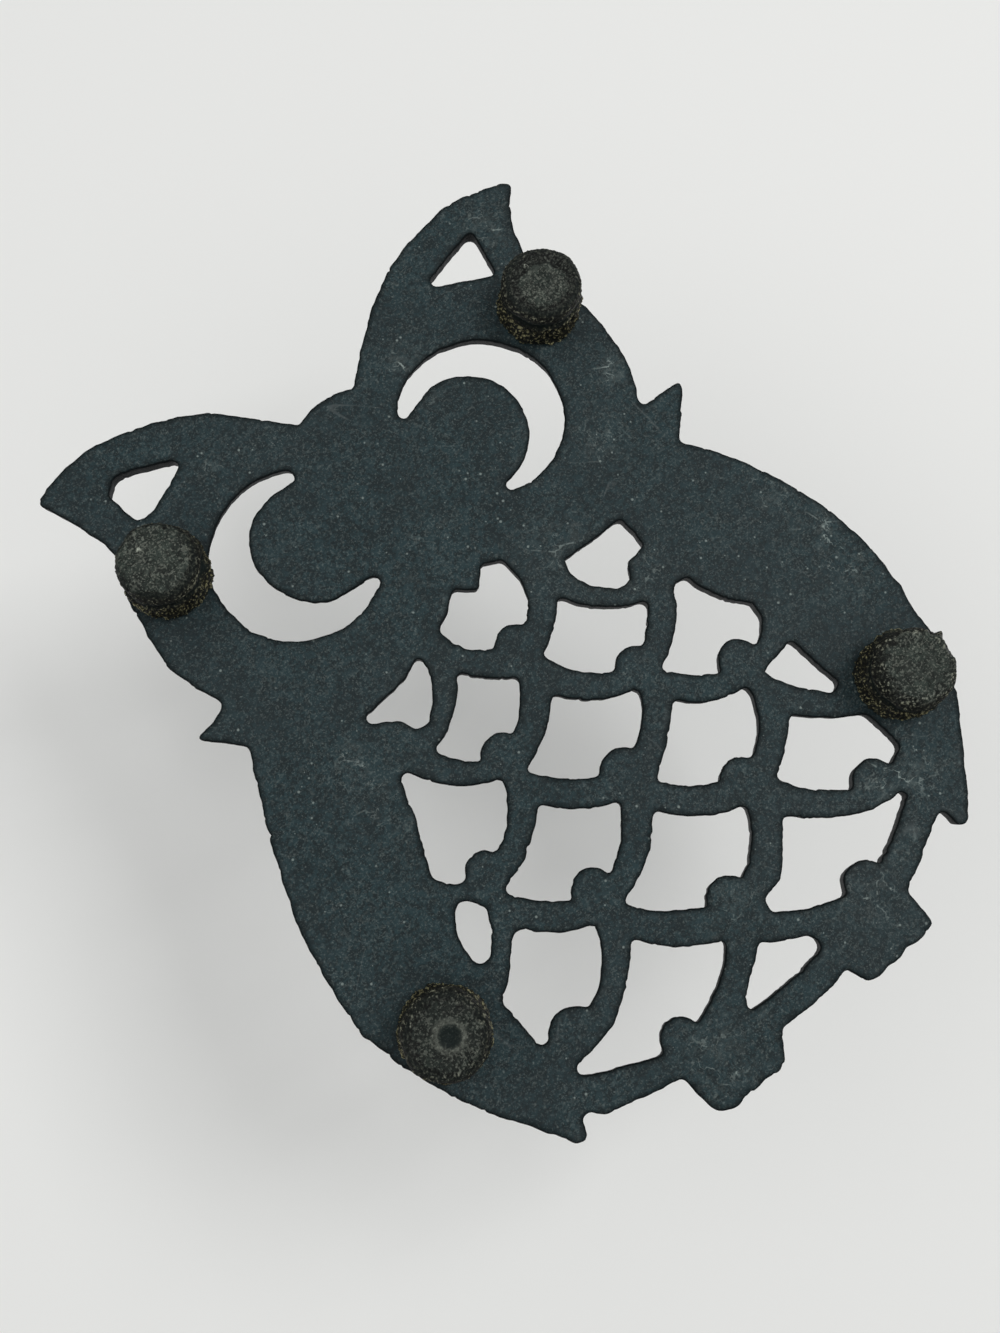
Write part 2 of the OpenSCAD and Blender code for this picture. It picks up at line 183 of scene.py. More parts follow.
class CastingSettings(bpy.types.PropertyGroup):
    """Sizes and colours of the iron casting."""
    plate_t: length("Plate thickness", "Back to front without the relief", 3.4)
    draft: length("Draft", "How far the walls lean back to the front", 0.3)
    eye_draft: length("Draft at the eyes", "The same for the crescents round the eyes", 0.62)
    back_edge: length("Back edge", "Radius of the edge of the flat back", 0.27)
    front_edge: length("Front edge", "Radius of the edge of the front", 0.85)
    wobble: length("Wobble", "Unevenness of the cast outlines", 0.055)
    spacing: length("Spacing", "Distance between points along the outlines", 0.36)
    front_grid: length("Front grid", "Distance between points on the front", 0.55)
    back_grid: length("Back grid", "Distance between points on the back", 0.8)
    eye_ring_r: length("Eye rings", "Radius of the ring round each eye", 7.0)
    pupil_r: length("Pupils", "Radius of the raised pupils", 3.2)
    ridge_w: length("Ridges", "Width of the ridges of the face", 2.2)
    bud_r: length("Feather buds", "Radius of the domes on the stems", 3.25)
    beak_l: length("Beak length", "Length of the beak from brow to tip", 15.0)
    beak_w: length("Beak width", "Width of the beak where it is widest", 6.4)
    skin: colour("Skin", "the dark cast skin", (0.0113, 0.0281, 0.0325))
    # Bare iron of the scratches, also used for the painted highlight on the rims and the relief
    # tops
    bare_and_highlight: colour("Worn iron", "rubbed edges and scratches", (0.105, 0.125, 0.125))
    dust: colour("Dust", "the pale grains and dust", (0.195, 0.235, 0.222))


class CapSettings(bpy.types.PropertyGroup):
    """Sizes and colours of the rubber caps."""
    head_h: length("Head", "Height of the head at the free end", 2.6)
    head_inset: length("Head inset", "How much narrower the head is, all round", 0.4)
    neck_h: length("Groove height", "Height of the groove over the head", 0.85)
    neck_d: length("Groove depth", "Depth of that groove", 0.5)
    taper: length("Taper", "How much the skirt narrows to its lip, all round", 0.2)
    lip_r: length("Lips", "Radius of the edges at the groove and the rim", 0.4)
    edge_r: length("End edge", "Radius of the edge of the free end", 1.7)
    dimple_r: length("Dimple", "Radius of the dimple in the end", 1.7)
    dimple_d: length("Dimple depth", "Depth of that dimple", 0.6)
    rubber: colour("Rubber", "the rubber", (0.019, 0.025, 0.021))
    grime: colour("Grime", "the brown grime on the skirts", (0.023, 0.021, 0.009))
    # Its specks on the tops of the crumbs are partly painted glints
    grit: colour("Grit", "the yellowish crumbs of rubber", (0.46, 0.43, 0.23))
    ash: colour("Ash", "the grey specks on the worn end", (0.26, 0.28, 0.235))
    # Colour of the painted shade in the dimple and the groove
    deep: colour("Deep", "the dimple and the groove", (0.0035, 0.0095, 0.0088))


class StageSettings(bpy.types.PropertyGroup):
    """The pale ground, the light and the camera."""
    ground: colour("Ground", "the plain ground", (0.880, 0.885, 0.868))
    ground_gap: bpy.props.FloatProperty(
        name="Ground gap", description="Distance of the ground behind the plate, in m",
        subtype="DISTANCE", default=0.07)
    room: bpy.props.FloatProperty(
        name="Room light", description="Strength of the even light from above and below",
        default=0.62)
    key: bpy.props.FloatProperty(
        name="Key light", description="Power of each of the two main lamps", subtype="POWER",
        default=2.05)
    camera_place: vector("Camera", "Place of the camera", "TRANSLATION",
                         (0.03209, -0.02142, -0.16014))
    camera_aim: vector("Aim", "Point on the plate's back at the middle of the picture",
                       "TRANSLATION", (0.00442, 0.00211, 0.0085))
    camera_up: vector("Up", "Direction that is up in the picture", "DIRECTION",
                      (-0.5996, 0.7733, -0.2063))
    camera_lens: length("Lens", "Focal length on a 36 mm frame", 32.41)


def owl_scale():
    """Millimetres of the real plate to one square of the drawing, along X and along Y."""
    low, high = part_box(CASTING)
    return np.array([(high[k] - low[k]) / MM / OWL_SQUARES[k] for k in (0, 1)])


def on_plate(place):
    """A place on the squared drawing, in millimetres of the real plate."""
    return (np.array(place[:2]) - OWL_MIDDLE) * owl_scale()


def away_from(points, place):
    """Distance of each point from a place in the plane."""
    return np.hypot(*(points - place).T)


def smooth(low, high, value):
    """0 below low, 1 above high, and a smooth S between them."""
    t = np.clip((value - low) / (high - low), 0, 1)
    return t * t * (3 - 2 * t)


def fade(low, high, value):
    """1 below low, 0 above high, and a smooth S between them."""
    return 1 - smooth(low, high, value)


def ripples(points, size, seed):
    """Smooth noise of about unit strength on points: a sum of sine waves that run in random
    directions, each a little longer or shorter than the given size."""
    count = 16
    rng = np.random.default_rng(seed)
    ways = rng.normal(size=(count, points.shape[1]))
    ways /= np.linalg.norm(ways, axis=1)[:, None]
    waves = 2 * math.pi / (size * rng.uniform(0.6, 1.7, count))
    phases = rng.uniform(0, 2 * math.pi, count)
    total = np.zeros(len(points))
    for way, wave, phase in zip(ways, waves, phases):
        total += np.sin(points @ way * wave + phase)
    return total / math.sqrt(count / 2)


def layers(points, rows, seed=0):
    """The sum of layers of ripples, with the given seed added to those of the rows."""
    return sum(strength * ripples(points, size, seed + own) for strength, size, own in rows)


def softened(values):
    """Values round a closed loop, each averaged with its two neighbours."""
    return values / 2 + (np.roll(values, 1, axis=0) + np.roll(values, -1, axis=0)) / 4


def middle_of(loop):
    return (loop.min(axis=0) + loop.max(axis=0)) / 2


def flat_face_loops(node, height):
    """Closed loops of points round a node's flat face at that height, with metal on their left.
    An edge that only one triangle of the face uses is on a loop. The points of a loop are told
    apart and put in order by jumps that double each time: the lowest number that a point reaches
    names its loop, and its steps to that point give its place."""
    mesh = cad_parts[node].data
    points = np.empty(3 * len(mesh.vertices))
    mesh.vertices.foreach_get("co", points)
    corners = np.empty(len(mesh.loops), dtype=np.int32)
    mesh.loops.foreach_get("vertex_index", corners)
    spots, same = np.unique(np.round(points.reshape(-1, 3), 7), axis=0, return_inverse=True)
    triangles = same.reshape(-1)[corners].reshape(-1, 3)
    flat = triangles[(np.abs(spots[triangles][:, :, 2] - height) < 1e-5).all(axis=1)]
    ends, starts = np.concatenate([flat[:, [0, 1]], flat[:, [1, 2]], flat[:, [2, 0]]]).T
    alone = ~np.isin(starts * len(spots) + ends, ends * len(spots) + starts)
    here = np.arange(len(spots))
    after = here.copy()
    after[starts[alone]] = ends[alone]
    rounds = range(len(spots).bit_length())
    first, jump = here, after
    for _ in rounds:
        first, jump = np.minimum(first, first[jump]), jump[jump]
    jump = np.where(first == here, here, after)
    steps = (jump != here).astype(int)
    for _ in rounds:
        steps, jump = steps + steps[jump], jump[jump]
    loops = []
    for lowest in np.unique(first[starts[alone]]):
        loop = np.flatnonzero(first == lowest)
        loops.append(spots[loop[np.argsort(-steps[loop])], :2] / MM)
    return loops


def evenly(loop, spacing):
    """The closed loop with points at even steps along it, softened over its nearest neighbours."""
    closed = np.vstack([loop, loop[:1]])
    run = np.concatenate([[0], np.cumsum(np.linalg.norm(np.diff(closed, axis=0), axis=1))])
    steps = max(12, int(round(run[-1] / spacing)))
    at = np.linspace(0, run[-1], steps, endpoint=False)
    return softened(np.column_stack([np.interp(at, run, closed[:, k]) for k in (0, 1)]))


def inward(loop):
    """Vectors at right angles to a closed loop, pointing to its left, into the metal. They are
    softened over their neighbours, so they are a little shorter than 1 in sharp bends."""
    along = np.roll(loop, -1, axis=0) - np.roll(loop, 1, axis=0)
    along /= np.linalg.norm(along, axis=1)[:, None]
    way = np.column_stack([-along[:, 1], along[:, 0]])
    for _ in range(4):
        way = softened(way)
    return way


def cast_outline(loop, wobble):
    """The loop with the unevenness of a sand mould: slow waves, quick ones and a few nicks."""
    nicks = 3.2 * np.clip(ripples(loop, 1.5, 15) - 1.25, 0, 1)
    uneven = wobble * (layers(loop, OUTLINE_WAVES) + nicks)
    return loop + inward(loop) * uneven[:, None]


class Edges:
    """The edges of closed loops, searched in bands across the plate."""
    band = 2.0

    def __init__(self, loops):
        self.starts = np.concatenate(loops)
        self.ends = np.concatenate([np.roll(loop, -1, axis=0) for loop in loops])

    def bands(self, points, margin):
        """For each band, which points lie in it, and the edges within the margin of it."""
        number = np.floor(points[:, 1] / self.band).astype(int)
        low = np.minimum(self.starts[:, 1], self.ends[:, 1]) - margin
        high = np.maximum(self.starts[:, 1], self.ends[:, 1]) + margin
        for k in np.unique(number):
            near = (low < (k + 1) * self.band) & (high > k * self.band)
            yield np.flatnonzero(number == k), self.starts[near], self.ends[near]

    def holds(self, points):
        """Whether each point is inside: an odd number of edges cross its row on its left."""
        found = np.zeros(len(points), dtype=bool)
        for mine, a, b in self.bands(points, 0):
            x, y = points[mine, 0][:, None], points[mine, 1][:, None]
            over = (a[:, 1] > y) != (b[:, 1] > y)
            rise = np.where(a[:, 1] == b[:, 1], 1, b[:, 1] - a[:, 1])
            cross = a[:, 0] + (y - a[:, 1]) / rise * (b[:, 0] - a[:, 0])
            found[mine] = (over & (cross < x)).sum(axis=1) % 2 == 1
        return found

    def distance(self, points, most):
        """Distance from each point to the nearest edge, as far as most."""
        found = np.full(len(points), float(most))
        for mine, a, b in self.bands(points, most):
            if len(a):
                way = b - a
                out = points[mine][:, None] - a
                share = (out * way).sum(axis=2) / np.maximum((way ** 2).sum(axis=1), 1e-12)
                out -= np.clip(share, 0, 1)[:, :, None] * way
                found[mine] = np.minimum(np.sqrt((out ** 2).sum(axis=2).min(axis=1)), most)
        return found

    def grid(self, spacing, clear):
        """Points of a staggered grid that are inside, and clear of the edges."""
        low, high = self.starts.min(axis=0), self.starts.max(axis=0)
        rows = np.arange(low[1], high[1], spacing * math.sqrt(3) / 2)
        x, y = np.meshgrid(np.arange(low[0], high[0], spacing), rows)
        x[1::2] += spacing / 2
        points = np.column_stack([x.ravel(), y.ravel()])
        points = points[self.holds(points)]
        return points[self.distance(points, clear * 1.5) > clear]


def filled(loops, inner):
    """Triangles that fill the loops through the inner points. They number all the loops' points
    first and then the inner ones. A triangle with no inner point is kept only if its middle is
    inside the loops."""
    edge = np.concatenate(loops)
    points = np.concatenate([edge, inner])
    links, start = [], 0
    for loop in loops:
        ring = np.arange(start, start + len(loop))
        links += np.column_stack([ring, np.roll(ring, -1)]).tolist()
        start += len(loop)
    made = delaunay_2d_cdt([Vector(p) for p in points], links, [], 0, 1e-9)
    if not all(made[3]):
        raise RuntimeError("Two outlines of the casting cross each other")
    source = np.array([origins[0] for origins in made[3]])
    triangles = source[np.array(made[2])]
    keep = (triangles >= len(edge)).any(axis=1)
    keep[~keep] = Edges(loops).holds(points[triangles[~keep]].mean(axis=1))
    return triangles[keep]


def ring_quads(start, around, rings):
    """Quads between rings of points that follow each other, each closed on itself."""
    here = np.arange(around)
    after = np.roll(here, -1)
    quads = []
    for k in range(rings - 1):
        low, high = start + k * around, start + (k + 1) * around
        quads.append(np.column_stack([low + here, low + after, high + after, high + here]))
    return np.concatenate(quads)


def facing(points, triangles, up):
    """The triangles, each turned so that it faces up or down as asked."""
    a, b, c = (points[triangles[:, k]][:, :2] for k in (0, 1, 2))
    area = (b[:, 0] - a[:, 0]) * (c[:, 1] - a[:, 1]) - (b[:, 1] - a[:, 1]) * (c[:, 0] - a[:, 0])
    return np.where(((area > 0) != up)[:, None], triangles[:, ::-1], triangles)


def mesh_piece(name, points, faces, node, material, marks):
    """A smooth-shaded piece from points in millimetres, with named values for each point. It
    rides with the casting and stands for the node."""
    mesh = bpy.data.meshes.new(name)
    mesh.from_pydata((points * MM).tolist(), [], [f for part in faces for f in part.tolist()])
    mesh.polygons.foreach_set("use_smooth", np.ones(len(mesh.polygons), dtype=bool))
    for mark, values in marks.items():
        mesh.attributes.new(mark, "FLOAT", "POINT").data.foreach_set(
            "value", values.astype(np.float32))
    mesh.materials.append(material)
    piece = bpy.data.objects.new(name, mesh)
    bpy.context.scene.collection.objects.link(piece)
    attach(piece, "root")
    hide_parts(node)


def arc_distance(points, arc):
    """Distance to an arc of the drawing: to its circle between its two ends, and beyond them to
    the nearer end."""
    dx, dy = (points - on_plate(arc)).T
    radius = arc[2] * owl_scale()[0]
    half = math.radians(arc[4] - arc[3]) / 2
    mid = math.radians(arc[4] + arc[3]) / 2
    turn = np.arctan2(dy * math.cos(mid) - dx * math.sin(mid),
                      dx * math.cos(mid) + dy * math.sin(mid))
    held = np.clip(turn, -half, half) + mid
    return np.hypot(dx - radius * np.cos(held), dy - radius * np.sin(held))


def beak(settings, points):
    """The beak's share of the relief. It widens from its tip for two thirds of its length and then
    narrows to the brow. A soft step round it carries a gable whose height follows its width."""
    x, y = (points - on_plate(BEAK_TIP)).T
    up = y / settings.beak_l
    half = settings.beak_w / 2 * np.clip(np.minimum(up / 0.66, (1 - up) / 0.34), 0, 1)
    side = half - np.abs(x)
    return 0.6 * smooth(0, 0.5, side) + 0.4 * np.clip(side / np.maximum(half, 1e-3), 0, 1)


def groove(away):
    """The share of the relief that a groove takes off at that distance from its middle line."""
    return GROOVE_DEPTH * fade(0.05, 0.9, away)


def relief(settings, points, edge):
    """Height of the front over its field, as a share of the relief: soft-edged rings, pupils and
    ridges of the face, domed feather buds and the beak, less the wing and toe grooves. The wing
    grooves die out towards the edge, which lies at the given distance."""
    wide = settings.ridge_w / 2
    flank = (0.4 * wide, 1.25 * wide)
    pupil = (settings.pupil_r - 0.7, settings.pupil_r + 0.3)
    forms = [fade(*flank, arc_distance(points, arc)) for arc in FACE_ARCS]
    for eye in EYES:
        away = away_from(points, on_plate(eye))
        forms += [fade(*flank, np.abs(away - settings.eye_ring_r)), fade(*pupil, away)]
    for bud in BUDS:
        dome = 1 - (away_from(points, on_plate(bud)) / settings.bud_r) ** 2
        forms.append(np.sqrt(np.clip(dome, 0, 1)))
    height = np.max([*forms, beak(settings, points)], axis=0)
    for arc in WING_ARCS:
        height -= groove(arc_distance(points, arc)) * smooth(0.6, 2.4, edge)
    for toe in TOE_GROOVES:
        x, y = (points - on_plate(toe)).T
        height -= groove(np.hypot(x, np.maximum(y - TOE_GROOVE_L, 0)))
    return height


def wall_rings(settings, loop, lean, back_z):
    """The wall that rises from a loop of the flat back, as rings of points: a rounded back edge,
    a leaning and slightly uneven wall, and the first third of the rounded front edge."""
    rb, rf, tall = settings.back_edge, settings.front_edge, settings.plate_t
    section = [(rb * (1 - math.cos(a)), rb * (1 - math.sin(a)))
               for a in np.radians([90, 60, 30, 0])]
    section += [(lean * s, rb + (tall - rb - rf) * s) for s in (0.33, 0.66, 1.0)]
    section += [(lean + rf * (1 - math.cos(a)), tall - rf * (1 - math.sin(a)))
                for a in np.radians([16, FRONT_TURN])]
    way = inward(loop)
    rings = []
    for inset, height in section:
        spot = np.column_stack([loop, np.full(len(loop), 2.5 * height)])
        swell = layers(spot, WALL_WAVES) * smooth(0, 0.8, height) * (height < tall - rf)
        ring = loop + way * (inset + swell)[:, None]
        rings.append(np.column_stack([ring, np.full(len(ring), back_z + height)]))
    return rings


def front_level(settings, points, rim, front_z, relief_h):
    """Height of the front at points, and their share of the relief. The front rises from the
    rounded edge over a soft pillow, with slow and sandy unevenness, and carries the relief. The
    distance to the rim gives the edge's circle: R times the sine of the angle whose cosine is 1
    less that distance over R."""
    rf = settings.front_edge
    begun = rf * (1 - math.cos(math.radians(FRONT_TURN)))
    away = rim.distance(points, RIM_REACH)
    reach = np.clip(1 - (away + begun) / rf, 0, 1)
    level = front_z - rf + rf * np.sqrt(1 - reach ** 2)
    inner = smooth(0.2, 1.4, away)
    level += PILLOW * (1 - np.exp(-away / 1.3)) * inner
    level += layers(points, FRONT_WAVES) * inner
    raised = relief(settings, points, away) * smooth(0.15, 1.0, away)
    return level + (relief_h - PILLOW) * raised, raised


def edge_bands(loops, rim, spread):
    """Points in bands along the loops, at the given distances from them. A point that came
    nearer to another edge, or fell short in a bend, is left out."""
    found = []
    for away in spread:
        band = np.concatenate([loop + inward(loop) * away for loop in loops])
        found.append(band[np.abs(rim.distance(band, away + 1) - away) < 0.12 * away + 0.01])
    return np.concatenate(found)


def outlines_and_pegs(height):
    """Loops of the flat back at that height, parted into outlines and roots of the pegs, which
    lie over the caps. Metal is outside a peg's root and inside all others."""
    legs = [np.array(((a + b) / 2 / MM)[:2]) for a, b in (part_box(cap) for cap in CAPS)]
    outlines, pegs = [], []
    for loop in flat_face_loops(CASTING, height):
        over = min(np.linalg.norm(middle_of(loop) - leg) for leg in legs) < 0.5
        (pegs if over else outlines).append(loop)
    return outlines, pegs


class Casting:
    """The casting as it grows: its points and faces, and for each point how dark the painted shade
    is on the wall it lies on, and how far the relief raises it."""

    def __init__(self):
        self.points = np.empty((0, 3))
        self.marks = np.empty((0, 2))
        self.faces = []

    def add(self, points, wall=0.0, raised=0.0):
        """Adds points with their two marks, and returns their numbers."""
        start = len(self.points)
        marks = np.empty((len(points), 2))
        marks[:, 0], marks[:, 1] = wall, raised
        self.points = np.concatenate([self.points, points])
        self.marks = np.concatenate([self.marks, marks])
        return np.arange(start, len(self.points))

    def add_rings(self, rings, walls):
        """Adds closed rings with quads between them, and returns the numbers of each."""
        numbers = [self.add(ring, wall) for ring, wall in zip(rings, walls)]
        self.faces.append(ring_quads(numbers[0][0], len(rings[0]), len(rings)))
        return numbers

    def fill(self, rims, inner, level, raised, up):
        """Fills one side between its rims, through inner points at that level."""
        triangles = filled([loop for loop, _ in rims], inner)
        new = self.add(np.column_stack([inner, level]), 0.0, raised)
        numbers = np.concatenate([*(own for _, own in rims), new])
        self.faces.append(facing(self.points, numbers[triangles], up))


def add_walls(casting, settings, loops, back_z):
    """Adds a wall on each outline of the flat back. Returns the rims of the back and of the
    front: their loops, each with the numbers of its points."""
    eyes = [on_plate(eye) for eye in EYES]
    backs, fronts = [], []
    for loop in loops:
        at_eye = min(np.linalg.norm(middle_of(loop) - eye) for eye in eyes) < settings.eye_ring_r
        lean = settings.eye_draft if at_eye else settings.draft
        loop = cast_outline(evenly(loop, settings.spacing), settings.wobble)
        rings = wall_rings(settings, loop, lean, back_z)
        numbers = casting.add_rings(rings, WALL_SHADE)
        backs.append((rings[0][:, :2], numbers[0]))
        fronts.append((rings[-1][:, :2], numbers[-1]))
    return backs, fronts


def add_pegs(casting, settings, loops, back_z, end_z):
    """Adds a peg with a bevelled end under each loop. Returns their rims in the flat back."""
    rims = []
    for loop in loops:
        loop = evenly(loop, settings.spacing)
        middle = np.ptp(loop[:, 0]) / 2 * 0.995
        rings = [np.column_stack([loop - inward(loop) * inset, np.full(len(loop), height)])
                 for inset, height in ((0, back_z), (0, end_z + PEG_BEVEL), (PEG_BEVEL, end_z),
                                       (middle, end_z))]
        numbers = casting.add_rings(rings, np.zeros(len(rings)))
        rims.append((loop, numbers[0]))
    return rims


def add_back(casting, settings, rims, back_z):
    """Fills the flat back, which swells a little and is slightly uneven."""
    rim = Edges([loop for loop, _ in rims])
    inner = rim.grid(settings.back_grid, 0.45 * settings.back_grid)
    swell = layers(inner, BACK_WAVES) + BACK_SWELL
    level = back_z - swell * smooth(0.2, 3.0, rim.distance(inner, RIM_REACH))
    casting.fill(rims, inner, level, 0.0, False)


def add_front(casting, settings, rims, front_z, relief_h):
    """Fills the front, with bands of points where its edge is rounded."""
    loops = [loop for loop, _ in rims]
    rim = Edges(loops)
    inner = np.concatenate([rim.grid(settings.front_grid, settings.front_edge * 1.05),
                            edge_bands(loops, rim, EDGE_BANDS)])
    casting.fill(rims, inner, *front_level(settings, inner, rim, front_z, relief_h), True)


def dust_on(points):
    """How dusty each point of the plate is: each mark falls off as a bell."""
    dusty = np.zeros(len(points))
    for mark in DUSTY_MARKS:
        away = away_from(points, on_plate(mark))
        dusty = np.maximum(dusty, mark[3] * np.exp(-(away / mark[2]) ** 2))
    return dusty


def cast_plate(settings):
    """Points, faces and marks of the casting. Each outline of the flat back carries a wall, pegs
    go down from the loops that lie over the caps, and the back and the front are filled."""
    low, high = (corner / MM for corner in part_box(CASTING))
    back_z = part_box(next(iter(CAPS)))[1].z / MM
    front_z = back_z + settings.plate_t
    outlines, pegs = outlines_and_pegs(back_z * MM)
    casting = Casting()
    backs, fronts = add_walls(casting, settings, outlines, back_z)
    roots = add_pegs(casting, settings, pegs, back_z, low.z)
    add_back(casting, settings, backs + roots, back_z)
    add_front(casting, settings, fronts, front_z, high.z - front_z)
    flat = casting.points[:, :2]
    wall, raised = casting.marks.T
    edge = Edges([loop for loop, _ in backs]).distance(flat, RUB_REACH)
    marks = {"edge": edge, "wall": wall, "dusty": dust_on(flat), "raised": raised}
    return casting.points, casting.faces, marks


def cap_profile(settings, radius, height):
    """Outer half section of a cap, from the middle of its free end to its rim against the plate.
    Each stop has its radius and height, and shares of grime, of a pale ring, of painted shade and
    of a crumbly crown round the end, which is partly a painted rim highlight. Round the dimple a
    low ring stands up to the free end, and the flat outside it lies a little back."""
    head_r, head_h = radius - settings.head_inset, settings.head_h
    dimple_r, dimple_d = settings.dimple_r, settings.dimple_d
    edge, lip = settings.edge_r, settings.lip_r
    flat, skirt_z = head_r - edge, head_h + settings.neck_h
    neck, top = head_r - settings.neck_d, radius - settings.taper
    stops = [(0.02, dimple_d, 0, 0, 0.95, 0)]
    for t in np.linspace(0.12, 1, 12):
        stops.append((dimple_r * t, dimple_d * (1 - t * t * (3 - 2 * t)), 0, t ** 8,
                      0.95 * (1 - t ** 5), 0))
    for t in np.linspace(0.08, 1, 16):
        stops.append((dimple_r + (flat - dimple_r) * t,
                      0.10 * smooth(0.2, 0.5, t) * fade(0.7, 1, t), 0, fade(0.08, 0.36, t), 0, 0))
    for a in np.radians(np.linspace(6, 90, 18)):
        stops.append((flat + edge * math.sin(a), edge * (1 - math.cos(a)), 0.35 * math.sin(a), 0,
                      0.75 * math.exp(-((a - 0.6) / 0.28) ** 2),
                      math.exp(-((a - 1.25) / 0.35) ** 2)))
    stops += [(head_r, edge + 0.12, 0.3, 0, 0.15, 0.5),
              (head_r, edge + 0.35, 0.3, 0, 0.65, 0)]
    for a in np.radians(np.linspace(0, 90, 6)):
        stops.append((head_r - lip * (1 - math.cos(a)), head_h - lip * (1 - math.sin(a)), 0.2, 0,
                      0.7 + 0.3 * math.sin(a), 0))
    stops += [(neck + 0.02, head_h + 0.04, 0.1, 0, 1, 0),
              (neck - 0.04, (head_h + skirt_z) / 2, 0.1, 0, 1, 0),
              (neck + 0.02, skirt_z - 0.04, 0.2, 0, 1, 0)]
    for a in np.radians(np.linspace(0, 90, 7)):
        stops.append((top - lip + lip * math.sin(a), skirt_z + lip * (1 - math.cos(a)),
                      0.6, 0, 0.6 * math.cos(a), 0.8 * math.sin(a)))
    for t in np.linspace(0.04, 1, 22):
        stops.append((top + (radius - top) * t, skirt_z + lip + (height - skirt_z - 2 * lip) * t,
                      1, 0, 0.15, 0.3 * (1 - t)))
    for a in np.radians(np.linspace(18, 90, 5)):
        stops.append((radius - lip * (1 - math.cos(a)), height - lip * (1 - math.sin(a)), 1, 0,
                      0.5, 0))
    stops.append((radius * 0.6, height, 0.2, 0, 1, 0))
    return np.array(stops)


def end_wear(wear, spot):
    """How worn each spot of a cap's end is, which also paints light on its flat end, how chipped it
    is, and how far the crumbs that the worn patch has lost still lift the rubber round it. Noise
    makes the borders ragged."""
    on_end = fade(0.9, 1.5, spot[:, 2])
    reach, strength = wear.patch[2:]
    away = away_from(spot[:, :2], wear.patch[:2]) + 0.30 * ripples(spot, 1.7, wear.seed + 6)
    worn_and_lit = strength * fade(reach - 0.35, reach + 0.45, away) * on_end
    step = 0.26 * strength * smooth(reach - 0.1, reach + 0.3, away)
    chipped = np.zeros(len(spot))
    if wear.chip:
        reach = wear.chip[2]
        away = away_from(spot[:, :2], wear.chip[:2]) + 0.12 * ripples(spot, 0.5, wear.seed + 7)
        chipped = fade(0.4 * reach, 1.2 * reach, away) * on_end
    return worn_and_lit, chipped, step


def cap_push(wear, spot, turn, grime, crumb, radius, height):
    """How far roughness pushes each spot of a cap out from its axis: most on the grimy skirt, which
    is crumbly, and least at the rim. A torn nib falls off as a bell both ways."""
    z = spot[:, 2]
    skirt = smooth(0.2, 1, grime)
    push = 0.10 * ripples(spot, 3.6, wear.seed)
    push += (0.03 + 0.10 * skirt) * np.clip(crumb, -0.7, 1.9)
    push += 0.12 * np.clip(ripples(spot, 1.7, wear.seed + 2), -1.4, 1.4) * skirt
    push -= 0.14 * smooth(0.3, 0.9, grime) + 0.07
    push *= 1 - 0.7 * smooth(height - 0.3, height, z)
    if wear.nib:
        way, proud, half, over = wear.nib
        gap = np.angle(np.exp(1j * (turn - math.radians(way)))) * radius
        push += proud * np.exp(-(gap / half) ** 2 - ((z - over) / NIB_TALL) ** 2)
    return push


def rubber_cap(settings, node):
    """Points, faces and marks of one cap: its half section carried round its axis, with its dimple
    partly filled and crumbs over its shoulder, and then moved by its wear and its roughness."""
    wear = CAPS[node]
    low, high = (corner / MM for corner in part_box(node))
    middle, radius, height = (low + high) / 2, (high.x - low.x) / 2, high.z - low.z
    section = cap_profile(settings, radius, height)
    r, z, grime, pale, shade, crown = (np.repeat(section[:, k], CAP_AROUND) for k in range(6))
    z = np.where(r < settings.dimple_r, z * wear.clear, z)
    shade = np.where(r < settings.dimple_r, shade * wear.clear, shade)
    over_flat = r - radius + settings.head_inset + settings.edge_r
    covered = wear.cover * ((z < settings.edge_r) * smooth(-0.2, 0.4, over_flat))
    shade *= 1 - covered
    turn = np.tile(np.linspace(0, 2 * math.pi, CAP_AROUND, endpoint=False), len(section))
    way = np.column_stack([np.cos(turn), np.sin(turn)])
    spot = np.column_stack([r[:, None] * way, z])
    crumb = layers(spot, CRUMBS, wear.seed)
    worn_and_lit, chipped, step = end_wear(wear, spot)
    push = cap_push(wear, spot, turn, grime, crumb, radius, height)
    lift = 0.08 * np.abs(ripples(spot, 2.0, wear.seed + 3)) + 0.05 * np.clip(1 - crumb, 0, 2) + step
    spot[:, 2] += lift * fade(0, 0.6 * height, z) * smooth(0.2, 0.5, r / radius)
    spot[:, :2] += way * (push * smooth(0.3, 1.0, r / radius))[:, None]
    spot[:, :2] += np.array(wear.slip) * fade(0.3, 0.62, r / radius)[:, None]
    spot[:, 2] = np.clip(spot[:, 2], 0, height)
    tips = np.array([[*wear.slip, section[0, 1] * wear.clear], [0, 0, height]])
    points = np.concatenate([spot, tips]) + np.array([middle.x, middle.y, low.z])
    last = len(section) * CAP_AROUND
    rim = last - CAP_AROUND
    here = np.arange(CAP_AROUND)
    after = np.roll(here, -1)
    faces = [ring_quads(0, CAP_AROUND, len(section)),
             np.column_stack([np.full(CAP_AROUND, last), after, here]),
             np.column_stack([np.full(CAP_AROUND, last + 1), rim + here, rim + after])]
    # The pale crumbly crown, which is partly a painted rim highlight, broken up by noise
    crown = np.maximum(crown, covered) * smooth(-1.2, 0.6, ripples(spot, 2.4, wear.seed + 8))
    marks = {"grime": (grime, 0, 0), "pale": (pale * wear.clear, 0, 0),
             "shade": (shade, 0.95 * wear.clear, 1), "crumb": (crumb, 0, 0),
             "worn_and_lit": (worn_and_lit, wear.patch[3], 0), "chip": (chipped, 0, 0), "crown": (crown, 0, 0)}
    return points, faces, {name: np.hstack(values) for name, values in marks.items()}


